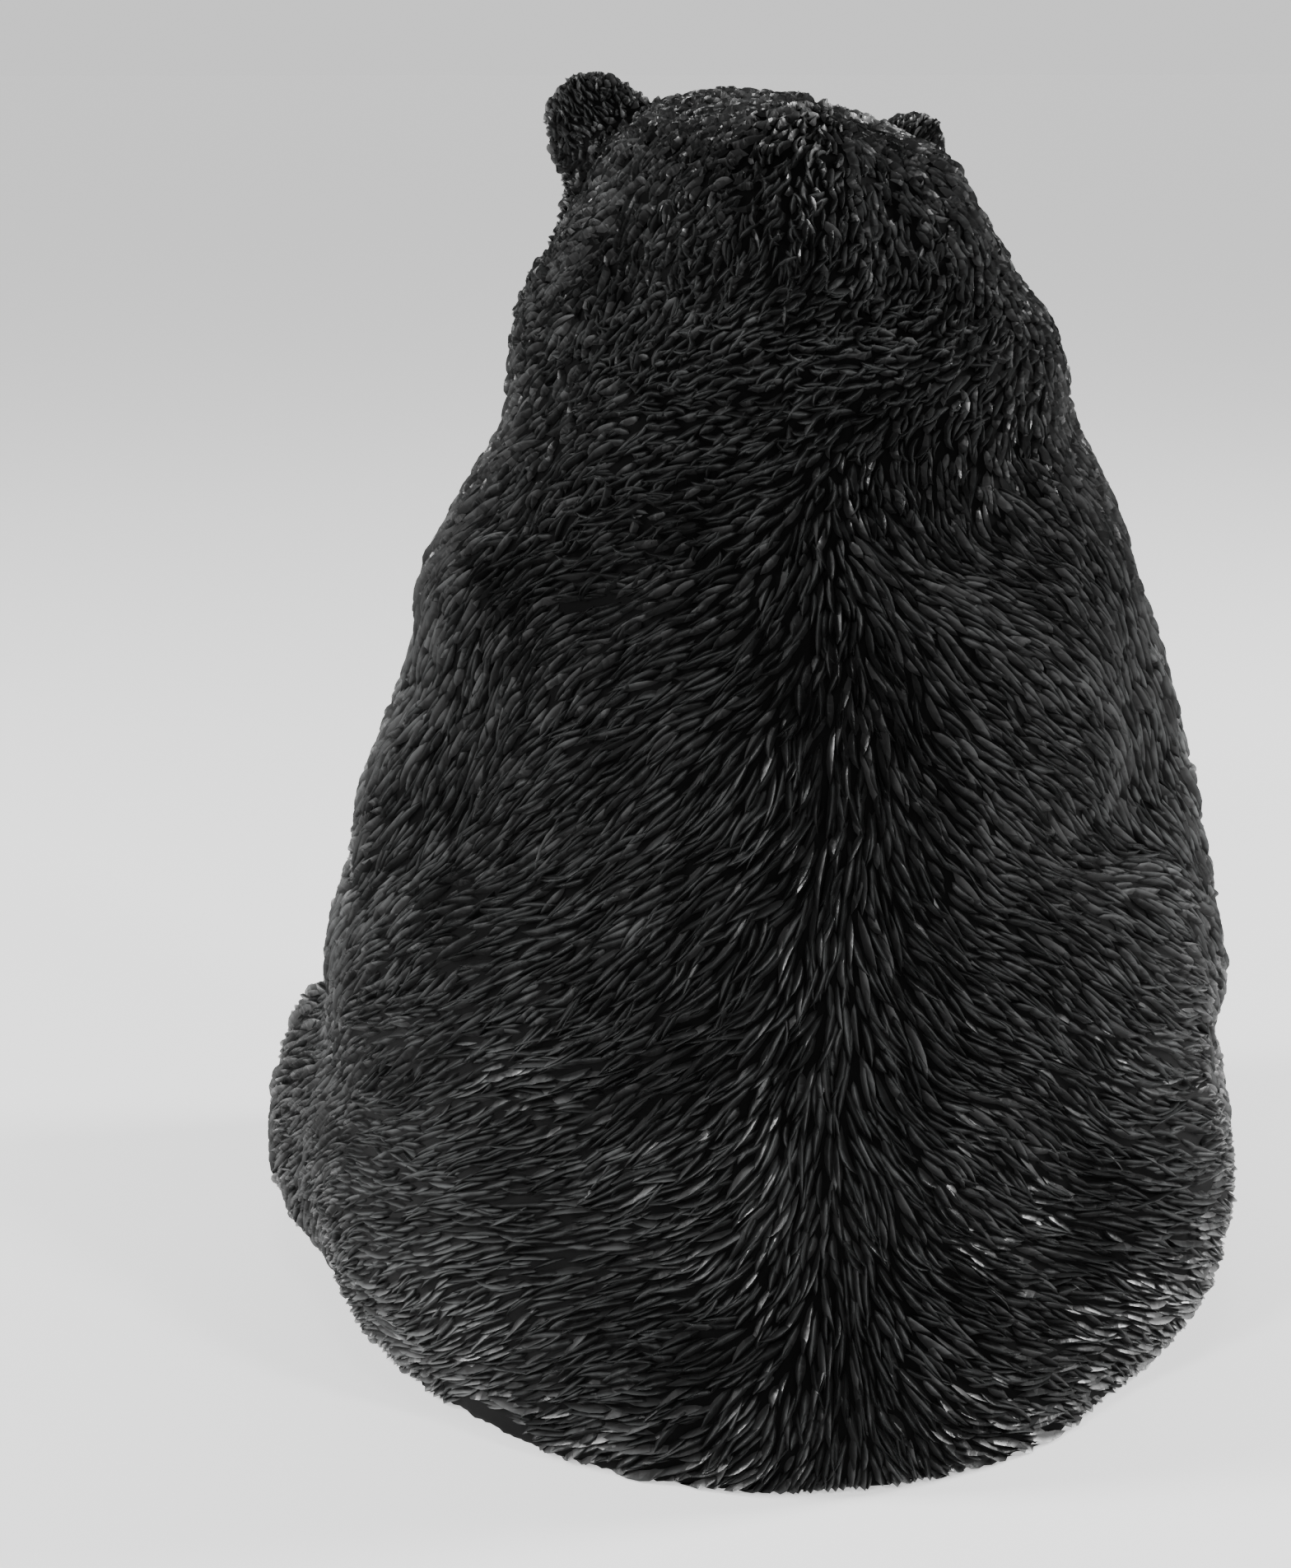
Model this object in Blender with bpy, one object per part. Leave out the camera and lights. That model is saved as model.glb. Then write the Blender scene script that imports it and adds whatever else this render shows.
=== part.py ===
"""Seated bear ornament, cast in one piece with its fur carved in locks.

Run with: blender --background --python part.py

The bear sits on its rump with its hind feet out in front and its forepaws on its belly. It faces -Y,
its left is +X, and it stands on its flat underside at z = 0 with the origin below the middle of its box.
The pose and the proportions are shares of the figure's own height: a place or a size given in
"hundredths" is in hundredths of HEIGHT. The sizes that a carver would set by themselves, such as the
claws, the eyes and the fur's locks, are lengths in metres.
"""

import math

import bmesh
import bpy
import numpy as np
from mathutils import Matrix, Vector

# The figure
HEIGHT = 0.505
HUNDREDTH = HEIGHT / 100

# Carved details, in metres
EYE_RADIUS = 0.0075
NOSE_WIDTH = 0.036
CLAW_LENGTH = 0.024
CLAW_RADIUS = 0.0042
LOCK_LENGTH = 0.058
LOCK_WIDTH = 0.024
LOCK_RELIEF = 0.0042
FOOT_RIM = 0.006

# How the head is held, in degrees, about a pivot in the neck
HEAD_TURN = 20
HEAD_TILT = -7
NECK_PIVOT = (0, 0, 72)

# Places that several functions share, in hundredths
NOSE = (0, -31.6, 82.6)
EAR = (12.9, -11, 93.8)
EYE = (6.6, -19, 86.2)
ELBOW = (24.5, 1, 42)
WRIST = (20, -25, 35)
PAW = (14, -31.5, 31)
HIP = (18.5, 7, 12.5)
KNEE = (27, -13, 13)
HEEL = (22, -35, 8.2)
SOLE = (22, -39.5, 11.6)

# How finely the form is fused, softened and then faceted
TORSO_GRID = 0.006
TORSO_SOFTENING = 22
DETAIL_GRID = 0.003
DETAIL_SOFTENING = 3
TRIANGLES = 8200

SIDES = (1, -1)


def place(x, y, z):
    """A point given in hundredths of the height."""
    return Vector((x, y, z)) * HUNDREDTH


def turn(x=0, y=0, z=0):
    """A rotation by degrees about X, then Y, then Z."""
    about = [Matrix.Rotation(math.radians(a), 4, n) for a, n in ((x, "X"), (y, "Y"), (z, "Z"))]
    return about[2] @ about[1] @ about[0]


def add(form, shape):
    """Puts a shape's mesh into the form, and frees the shape."""
    skin = bpy.data.meshes.new("shape")
    shape.to_mesh(skin)
    shape.free()
    form.from_mesh(skin)
    bpy.data.meshes.remove(skin)


def ellipsoid(form, centre, radii, tilt=None):
    """Adds an ellipsoid, with its centre and radii in hundredths."""
    size = Matrix.Diagonal((*(r * HUNDREDTH for r in radii), 1))
    where = Matrix.Translation(place(*centre)) @ (tilt or Matrix()) @ size
    shape = bmesh.new()
    bmesh.ops.create_uvsphere(shape, u_segments=28, v_segments=18, radius=1, matrix=where)
    add(form, shape)


def hull(form, balls, fineness):
    """Adds the closed skin drawn tight round some balls (centre, radius), in hundredths."""
    tight = bmesh.new()
    for centre, radius in balls:
        where = Matrix.Translation(place(*centre))
        bmesh.ops.create_icosphere(tight, subdivisions=fineness, radius=radius * HUNDREDTH, matrix=where)
    bmesh.ops.delete(tight, geom=tight.edges[:], context="EDGES_FACES")
    bmesh.ops.convex_hull(tight, input=tight.verts)
    bmesh.ops.delete(tight, geom=[v for v in tight.verts if not v.link_faces], context="VERTS")
    add(form, tight)


def limb(form, near, far):
    """Adds a tapered limb between two balls (centre, radius), in hundredths."""
    hull(form, (near, far), 3)


def mesh_object(name, form):
    """Makes an object of a bmesh and frees the bmesh."""
    mesh = bpy.data.meshes.new(name)
    form.to_mesh(mesh)
    form.free()
    made = bpy.data.objects.new(name, mesh)
    bpy.context.scene.collection.objects.link(made)
    return made


def applied(made):
    """Puts the object's evaluated mesh in place of its own, and drops its modifiers."""
    graph = bpy.context.evaluated_depsgraph_get()
    mesh = bpy.data.meshes.new_from_object(made.evaluated_get(graph))
    made.modifiers.clear()
    made.data = mesh
    return made


def fuse(made, grid, softening):
    """Fuses overlapping shapes into one closed skin, and softens the creases where they meet."""
    skin = made.modifiers.new("fuse", "REMESH")
    skin.mode = "VOXEL"
    skin.voxel_size = grid
    soft = made.modifiers.new("soften", "SMOOTH")
    soft.factor = 0.5
    soft.iterations = softening
    return applied(made)


def sided(point, side):
    """A place on the bear's left, or its mirror image on the right."""
    return Vector((point[0] * side, point[1], point[2]))


def held():
    """The matrix that turns and tilts the head about the neck."""
    pivot = Matrix.Translation(place(*NECK_PIVOT))
    return pivot @ turn(y=HEAD_TILT, z=HEAD_TURN) @ pivot.inverted()


def torso_and_limbs():
    """The large masses, which run softly into each other."""
    form = bmesh.new()
    ellipsoid(form, (0.7, -0.8, 5), (32.5, 35, 22))
    ellipsoid(form, (0, -2, 29), (37, 30, 27))
    ellipsoid(form, (0, 2, 50), (28, 23, 25))
    ellipsoid(form, (0, 3, 67), (25.5, 16, 13))
    ellipsoid(form, (-1.2, 1, 77), (22, 16, 12))
    limb(form, ((0, 4, 20), 27.5), ((0, 3, 52), 23.5))
    for side in SIDES:
        elbow, knee = sided(ELBOW, side), sided(KNEE, side)
        # Only the left arm is drawn in where it bends
        shoulder = ((17.6, 3, 60), 11.6) if side > 0 else ((-16.5, 3, 60), 12)
        bend = ((19, 2, 55), 10.2) if side > 0 else ((-20.5, 2, 51), 11)
        limb(form, shoulder, bend)
        limb(form, bend, (elbow, 10))
        limb(form, (elbow, 10), (sided(WRIST, side), 7))
        limb(form, (sided(HIP, side), 18), (knee, 15))
        limb(form, (knee, 15), (sided(HEEL, side), 9))
    return fuse(mesh_object("masses", form), TORSO_GRID, TORSO_SOFTENING)


def head(form):
    """The head, before it is turned and tilted."""
    # Two skulls side by side give the crown its flat top
    ellipsoid(form, (4.4, -3, 84.4), (13.2, 18, 14.5))
    ellipsoid(form, (-3.8, -3, 83.8), (13.2, 18, 14.5))
    ellipsoid(form, (0, -13, 88), (12, 8, 7))
    for side in SIDES:
        ellipsoid(form, (10.2 * side, -4, 79.2), (10.3, 12, 11))
        ellipsoid(form, sided(EAR, side), (4.4, 2.4, 5.2), turn(z=-20 * side, y=25 * side))
        ellipsoid(form, (4.6 * side, -24.6, 77.6), (4.6, 6, 4.2))
    limb(form, ((0, -14, 82), 9.8), ((0, -26, 80), 6.6))
    limb(form, ((0, -13, 75), 8), ((0, -24.5, 73.2), 4.4))


def paws(form):
    """The four paws, each with five toes, and a pad on the sole of each hind foot."""
    for side in SIDES:
        ellipsoid(form, sided(PAW, side), (6.6, 5.4, 6), turn(z=-35 * side))
        ellipsoid(form, sided(SOLE, side), (8, 4.6, 12), turn(z=12 * side))
        ellipsoid(form, sided(SOLE, side) + Vector((0.8 * side, -3.6, -3)), (5.4, 2, 6.4), turn(z=12 * side))
        for toe in range(5):
            ellipsoid(form, fore_toe(side, toe), (2.3, 2.3, 2.3))
            ellipsoid(form, hind_toe(side, toe), (2.0, 3.0, 2.7))


def fore_toe(side, toe):
    """The middle of a toe on a forepaw, in hundredths. They fan out inwards and down over the belly."""
    fan = math.radians(-8 + 24 * (toe - 1))
    reach = 6.4 - 0.35 * (toe - 2) ** 2
    return sided(PAW, side) + Vector((
        -side * reach * math.cos(fan), -2.2, -reach * math.sin(fan)))


def hind_toe(side, toe):
    """The middle of a toe on a hind foot, in hundredths, along the top edge of the sole."""
    across = toe - 2
    lean = math.radians(12) * side
    return sided(SOLE, side) + Vector((
        across * 3.15 * math.cos(lean), -2.2 + across * 3.15 * math.sin(lean), 10.4 - 0.6 * across ** 2))


def claws():
    """The twenty claws as one mesh of separate hooks, sunk into the toes."""
    form = bmesh.new()
    share = CLAW_RADIUS / HUNDREDTH
    reach = CLAW_LENGTH / HUNDREDTH
    for side in SIDES:
        for toe in range(5):
            fore = fore_toe(side, toe)
            out = (fore - sided(PAW, side)).normalized()
            hooks = (
                (fore + out * 1.2 + Vector((0, -0.8, 0)), out + Vector((0, -0.5, 0)), out + Vector((0, 0.6, -0.3))),
                (hind_toe(side, toe) + Vector((0, -0.6, 1.4)), Vector((0, -0.9, 0.5)), Vector((0, -1, -0.5))),
            )
            for root, ahead, curl in hooks:
                middle = root + ahead.normalized() * reach * 0.5
                tip = middle + curl.normalized() * reach * 0.5
                hull(form, ((root, share), (middle, share * 0.85), (tip, share * 0.25)), 1)
    return form


def eyes_and_nose():
    """The eyeballs and the nose pad, as shapes to be joined to the faceted head."""
    form = bmesh.new()
    for side in SIDES:
        where = Matrix.Translation(place(*sided(EYE, side)))
        bmesh.ops.create_icosphere(form, subdivisions=2, radius=EYE_RADIUS, matrix=where)
    size = Matrix.Diagonal((NOSE_WIDTH / 2, NOSE_WIDTH * 0.36, NOSE_WIDTH * 0.36, 1))
    bmesh.ops.create_uvsphere(
        form, u_segments=14, v_segments=8, radius=1, matrix=Matrix.Translation(place(*NOSE)) @ size)
    bmesh.ops.transform(form, matrix=held(), verts=form.verts)
    return form


def press(at, centre, radius, push):
    """Moves the points round a centre by up to the push, fading to nothing at the radius, in hundredths."""
    where = np.array(held() @ place(*centre))
    away = np.linalg.norm(at - where, axis=1) / (radius * HUNDREDTH)
    shift = np.array(held().to_3x3() @ place(*push))
    at += np.clip(1 - away ** 2, 0, 1)[:, None] ** 2 * shift


def carve_face(at):
    """Hollows the ears and the eye sockets, and cuts the mouth."""
    for side in SIDES:
        ear = sided(EAR, side)
        press(at, ear + Vector((-0.4 * side, -2.2, -0.4)), 4.6, (0.5 * side, 2.6, 0))
        press(at, sided(EYE, side) + Vector((0, -1, 0)), 3.6, (0, 1.0, 0))
    press(at, (0, -32.4, 79), 2.2, (0, 0.9, 0))


def points_of(made):
    """The mesh's vertices as an array of places, and one of normals."""
    mesh = made.data
    at = np.empty(len(mesh.vertices) * 3)
    normal = np.empty(len(mesh.vertices) * 3)
    mesh.vertices.foreach_get("co", at)
    mesh.vertex_normals.foreach_get("vector", normal)
    return at.reshape(-1, 3), normal.reshape(-1, 3)


def step(low, high, value):
    """0 below the low value, 1 above the high one, and a smooth rise between."""
    share = np.clip((value - low) / (high - low), 0, 1)
    return share * share * (3 - 2 * share)


def near(at, centre, reach):
    """1 at a place, falling off softly within the reach, all in hundredths."""
    return np.exp(-(((at - np.array(centre)) / reach) ** 2).sum(axis=1))[:, None]


def comb(at, normal):
    """The way the fur lies at each point given in hundredths, from root to tip, along the skin."""
    x, y, z = at.T
    side = np.sign(x)
    # Down the spine, and outwards in a herringbone round the flanks
    about = np.arctan2(abs(x), y)
    swept = np.where(
        about < math.pi / 4, np.sin(2 * about), np.cos(np.clip(about - math.pi / 4, 0, 9) * 2 / 3))
    swept = np.radians(58) * swept
    flow = np.stack([
        side * np.cos(about) * np.sin(swept), -np.sin(about) * np.sin(swept), -np.cos(swept)], axis=1)
    for s in SIDES:
        runs = (
            (HIP, KNEE, 15, 2.2),
            (KNEE, HEEL, 12, 3),
            (ELBOW, WRIST, 9, 3),
            (WRIST, PAW, 7, 3),
        )
        for start, end, reach, weight in runs:
            start, end = sided(start, s), sided(end, s)
            way = np.array((end - start).normalized())
            for share in (0, 0.5, 1):
                flow += weight * near(at, start.lerp(end, share), reach) * way
    # Across the nape, and a swirl on the left shoulder
    flow += 4 * near(at, (-3, 16, 70), (12, 8, 5)) * np.array((-1, 0, -0.15))
    swirl = np.cross(at - np.array((19, 12, 66)), np.array((0.3, 0.9, 0.2)))
    flow += 0.5 * near(at, (19, 12, 66), 7) * swirl
    # Back from the nose, over the crown and down behind
    own = np.array(held().inverted().to_3x3())
    base = np.array(held().inverted() @ Vector((0, 0, 0))) / HUNDREDTH
    face = at @ own.T + base
    back = face - np.array(NOSE)
    back /= np.linalg.norm(back, axis=1)[:, None]
    back[:, 2] -= 1.1 * step(-6, 9, face[:, 1])
    share = step(70, 80, z)[:, None]
    flow = flow * (1 - share) + share * (back @ own)
    for s in SIDES:
        ear = np.array(held() @ place(*sided(EAR, s))) / HUNDREDTH
        root = ear - np.array((4 * s, 0, 5))
        flow += 3 * near(at, ear + np.array((s, 0, 2)), 4) * (at - root) / 6
    flow -= normal * (flow * normal).sum(axis=1)[:, None]
    return flow / (np.linalg.norm(flow, axis=1)[:, None] + 1e-9)


def furred(at):
    """How deep the fur is carved at each point given in hundredths: 0 on bare skin, 1 in the full coat."""
    deep = step(FOOT_RIM / HUNDREDTH * 0.6, FOOT_RIM / HUNDREDTH * 2.5, at[:, 2])
    inverse = held().inverted()
    face = at @ np.array(inverse.to_3x3()).T + np.array(inverse @ Vector((0, 0, 0))) / HUNDREDTH
    deep *= 1 - 0.92 * near(face, (0, -32, 79), (10, 9, 9))[:, 0]
    for side in SIDES:
        deep *= 1 - 0.9 * near(face, sided(EYE, side), 4)[:, 0]
        deep *= 1 - 0.85 * near(face, sided(EAR, side) + Vector((0, -3, 0)), 4)[:, 0]
        deep *= 1 - near(at, sided(SOLE, side) + Vector((0, -5, 0)), (9, 5, 14))[:, 0]
        deep *= 1 - near(at, sided(PAW, side) + Vector((0, -8, -1)), (9, 5, 6))[:, 0]
    return deep


def lock_roots(at, spacing):
    """Vertices to root the locks at, about evenly spread and no closer than two thirds of the spacing."""
    order = np.random.default_rng(11).permutation(len(at))
    cell = np.floor(at[order] / spacing).astype(int)
    _, first = np.unique(cell, axis=0, return_index=True)
    chosen = []
    for index in order[np.sort(first)]:
        away = at[chosen] - at[index] if chosen else np.full((1, 3), 9.0)
        if (away ** 2).sum(axis=1).min() > (spacing * 0.62) ** 2:
            chosen.append(index)
    return chosen


def carve_locks(made):
    """Raises the coat in pointed locks, each one's tip lying over the root of the next."""
    at, normal = points_of(made)
    carve_face(at)
    shares = at / HUNDREDTH
    flow = comb(shares, normal)
    depth = furred(shares)
    lift = np.zeros(len(at))
    upwards = np.argsort(at[:, 2])
    height = at[upwards, 2]
    for root in lock_roots(at, LOCK_WIDTH * 0.92):
        first, last = np.searchsorted(height, at[root, 2] + LOCK_LENGTH * np.array((-1, 1)))
        close = upwards[first:last]
        close = close[abs(at[close] - at[root]).max(axis=1) < LOCK_LENGTH]
        away = at[close] - at[root]
        along = away @ flow[root] / LOCK_LENGTH
        across = away @ np.cross(normal[root], flow[root]) / (LOCK_WIDTH / 2)
        off = away @ normal[root] / LOCK_LENGTH
        width = np.sqrt(np.clip(along, 0, 1)) * np.clip(1 - along, 0, 1) ** 0.6 * 1.9
        ridge = np.clip(1 - (across / np.maximum(width, 0.05)) ** 2, 0, 1)
        ridge *= abs(off) < 0.35
        lift[close] = np.maximum(lift[close], ridge ** 0.6 * (0.35 + 0.65 * np.clip(along, 0, 1)))
    at += normal * ((lift - 0.5) * LOCK_RELIEF * depth)[:, None]
    made.data.vertices.foreach_set("co", at.ravel())
    made.data.update()
    soft = made.modifiers.new("soften", "SMOOTH")
    soft.factor = 0.5
    soft.iterations = 1
    applied(made)


def faceted(made, triangles):
    """Cuts the carved skin down to a number of triangles, which gather where it bends."""
    fewer = made.modifiers.new("facets", "DECIMATE")
    made.data.calc_loop_triangles()
    fewer.ratio = triangles / len(made.data.loop_triangles)
    fewer.use_collapse_triangulate = True
    return applied(made)


def join(made, form):
    """Joins shapes that stand part way into the body."""
    other = mesh_object("joined", form)
    union = made.modifiers.new("join", "BOOLEAN")
    union.operation = "UNION"
    union.solver = "EXACT"
    union.object = other
    applied(made)
    bpy.data.objects.remove(other)


def cut_flat(made):
    """Cuts the underside flat at z = 0."""
    form = bmesh.new()
    form.from_mesh(made.data)
    geometry = form.verts[:] + form.edges[:] + form.faces[:]
    cut = bmesh.ops.bisect_plane(
        form, geom=geometry, dist=1e-5, plane_co=(0, 0, 0), plane_no=(0, 0, 1), clear_inner=True)
    rim = [e for e in cut["geom_cut"] if isinstance(e, bmesh.types.BMEdge)]
    for edge in rim:
        for corner in edge.verts:
            corner.co.z = 0
    bmesh.ops.holes_fill(form, edges=rim)
    bmesh.ops.triangulate(form, faces=form.faces[:])
    form.to_mesh(made.data)
    form.free()


def centre(made):
    """Moves the body so that the middle of its box stands over the origin."""
    at, _ = points_of(made)
    middle = (at.min(axis=0) + at.max(axis=0)) / 2
    made.data.transform(Matrix.Translation((-middle[0], -middle[1], 0)))


def black_paint():
    """Black satin paint over cast resin."""
    paint = bpy.data.materials.new("black satin paint")
    paint.use_nodes = True
    shade = paint.node_tree.nodes["Principled BSDF"]
    shade.inputs["Base Color"].default_value = (0.012, 0.012, 0.013, 1)
    shade.inputs["Roughness"].default_value = 0.36
    shade.inputs["Metallic"].default_value = 0
    return paint


def build():
    masses = torso_and_limbs()
    form = bmesh.new()
    head(form)
    bmesh.ops.transform(form, matrix=held(), verts=form.verts)
    paws(form)
    form.from_mesh(masses.data)
    bpy.data.objects.remove(masses)
    bear = fuse(mesh_object("bear", form), DETAIL_GRID, DETAIL_SOFTENING)
    carve_locks(bear)
    faceted(bear, TRIANGLES)
    cut_flat(bear)
    join(bear, eyes_and_nose())
    join(bear, claws())
    centre(bear)
    bear.data.materials.clear()
    bear.data.materials.append(black_paint())


for old in list(bpy.data.objects):
    bpy.data.objects.remove(old)
build()
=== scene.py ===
# %% [markdown]
# # A seated bear in cast resin, painted black
#
# The real object is one hollow casting. A carver cut its shaggy coat into a clay or wood master as
# thousands of pointed strands, a rubber mould took every groove, and the cast was sprayed with a
# satin black paint. So the object is one form with three kinds of surface: the coat, the bare skin of
# the nose, soles and toes, and the polished claws and eyes.
#
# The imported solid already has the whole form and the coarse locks. What it can't hold is the single
# strand, some 3 mm wide. This lesson keeps the solid's form as an undercoat, lays the strands over it
# one by one along a combed direction field, and paints them.

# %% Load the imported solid
import math

import bmesh
import bpy
import numpy as np
from mathutils import Matrix, Vector, kdtree


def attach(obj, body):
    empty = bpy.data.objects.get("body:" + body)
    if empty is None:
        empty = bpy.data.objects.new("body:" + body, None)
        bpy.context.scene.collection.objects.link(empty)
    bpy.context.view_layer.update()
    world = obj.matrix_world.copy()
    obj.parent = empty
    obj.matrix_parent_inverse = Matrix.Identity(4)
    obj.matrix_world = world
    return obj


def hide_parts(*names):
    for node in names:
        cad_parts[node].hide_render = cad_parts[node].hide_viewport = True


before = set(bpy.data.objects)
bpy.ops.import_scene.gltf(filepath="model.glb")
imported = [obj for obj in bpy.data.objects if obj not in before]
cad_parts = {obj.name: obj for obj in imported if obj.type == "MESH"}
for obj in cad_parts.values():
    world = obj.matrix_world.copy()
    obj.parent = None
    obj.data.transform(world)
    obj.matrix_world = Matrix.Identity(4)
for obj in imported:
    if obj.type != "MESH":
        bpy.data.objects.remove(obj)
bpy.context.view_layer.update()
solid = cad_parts["bear"]

# %% [markdown]
# ## Measures
#
# A figure like this is easiest to place in shares of its own height, so that every part of the pose
# keeps its place if the size changes. A "hundredth" here is a hundredth of the bear's 505 mm. The
# solid's origin lies below the middle of its box, so the figure's own axis stands a little behind it.

# %% The figure's measures
HEIGHT = 0.505
HUNDREDTH = HEIGHT / 100
MM = 0.001
AXIS_SHIFT = Vector((-0.0002, 0.0356, 0))
HEAD_TURN = 20
HEAD_TILT = -7
NECK_PIVOT = (0, 0, 72)
NOSE = (0, -31.6, 82.6)
EAR = (12.9, -11, 93.8)
EYE = (6.6, -19, 86.2)
ELBOW = (24.5, 1, 42)
WRIST = (20, -25, 35)
PAW = (14, -31.5, 31)
HIP = (18.5, 7, 12.5)
KNEE = (27, -13, 13)
HEEL = (22, -35, 8.2)
SOLE = (22, -39.5, 11.6)
SIDES = (1, -1)


def sided(point, side):
    """A place on the bear's left, or its mirror image on the right."""
    return Vector((point[0] * side, point[1], point[2]))


def turn(x=0, y=0, z=0):
    """A rotation by degrees about X, then Y, then Z."""
    about = [Matrix.Rotation(math.radians(a), 4, n) for a, n in ((x, "X"), (y, "Y"), (z, "Z"))]
    return about[2] @ about[1] @ about[0]


def held():
    """How the head is turned and tilted about the neck, in hundredths."""
    pivot = Matrix.Translation(NECK_PIVOT)
    return pivot @ turn(y=HEAD_TILT, z=HEAD_TURN) @ pivot.inverted()


def in_world(point):
    """A place in hundredths about the figure's axis, as metres in the solid's frame."""
    return Vector(point) * HUNDREDTH + AXIS_SHIFT


def head_frame():
    """From metres in the head as it was before it was turned, to metres in the solid's frame."""
    moved = Matrix.Translation(AXIS_SHIFT) @ Matrix.Translation(held().translation * HUNDREDTH)
    return moved @ held().to_3x3().to_4x4()


print("the nose is at", [round(1000 * v) for v in in_world(held() @ Vector(NOSE))], "mm")

# %% [markdown]
# ## The camera
#
# The photograph looks down on the bear's back from a little over its own height and slightly from its
# left. Its lens was long. The camera comes first, so that every later step can be compared with it.

# %% Place the camera
CAMERA_PITCH = 15.1
CAMERA_HEADING = 173.9
CAMERA_PLACE = (0.1669, 1.0895, 0.5135)
LENS = 62.4
FILM_WIDTH = 36
camera_data = bpy.data.cameras.new("camera")
camera_data.lens = LENS
camera_data.sensor_width = FILM_WIDTH
camera = bpy.data.objects.new("camera", camera_data)
camera.location = CAMERA_PLACE
camera.rotation_euler = (math.radians(90 - CAMERA_PITCH), 0, math.radians(CAMERA_HEADING))
bpy.context.scene.collection.objects.link(camera)
bpy.context.scene.camera = camera
print("the camera is", round(math.hypot(*CAMERA_PLACE[:2]), 2), "m from the middle of the bear")

# %% [markdown]
# ## Paints and surfaces
#
# Colours are given as sRGB hex, as a paint maker would, and one function turns them to the linear
# values that the shader works in. One more function adds a node with its settings and its links.

# %% Colour and node helpers


def linear(hex_colour):
    """An sRGB hex colour as linear RGBA."""
    values = [int(hex_colour[i:i + 2], 16) / 255 for i in (1, 3, 5)]
    return [v / 12.92 if v <= 0.04045 else ((v + 0.055) / 1.055) ** 2.4 for v in values] + [1.0]


def add_node(material, kind, settings=None, **inputs):
    """Adds a node, sets its properties, and sets each named input to a value or links it to a socket."""
    node = material.node_tree.nodes.new(kind)
    for name, value in (settings or {}).items():
        setattr(node, name, value)
    for name, value in inputs.items():
        key = name.replace("_", " ")
        socket = node.inputs[int(key[1:])] if key[0] == "i" and key[1:].isdigit() else node.inputs[key]
        if isinstance(value, bpy.types.NodeSocket):
            material.node_tree.links.new(value, socket)
        else:
            socket.default_value = value
    return node


def new_material(name):
    """An empty node material with its output, and the output's surface socket to link to."""
    material = bpy.data.materials.new(name)
    material.use_nodes = True
    material.node_tree.nodes.clear()
    return material, add_node(material, "ShaderNodeOutputMaterial").inputs["Surface"]


# %% [markdown]
# The coat is filled polyester resin, sprayed with a satin black enamel. Resin itself never shows.
# The spray pools in the bottoms of the grooves and dries dull there, and they are painted nearly black as
# shade. The ridges are painted a shade greyer, partly wear and partly a painted highlight, and dust with a
# painted grey sheen lies most of all on the low haunch.
# A satin enamel has an IOR of about 1.45. On the ridges its roughness of about 0.2 draws the thin
# bright lines that make the coat sparkle, and in the grooves it is rough enough to swallow the light.
# Where dust lies thick, it takes the shine away.

# %% Satin black enamel on the carved coat
ENAMEL_IOR = 1.45
# Painted shade in the grooves, and on the ridges a grey that is partly wear and partly a painted highlight
GROOVE_SHADE_BLACK = "#030303"
RIDGE_WEAR_AND_HIGHLIGHT_GREY = "#3a3b3b"
GROOVE_ROUGHNESS = 0.6


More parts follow.
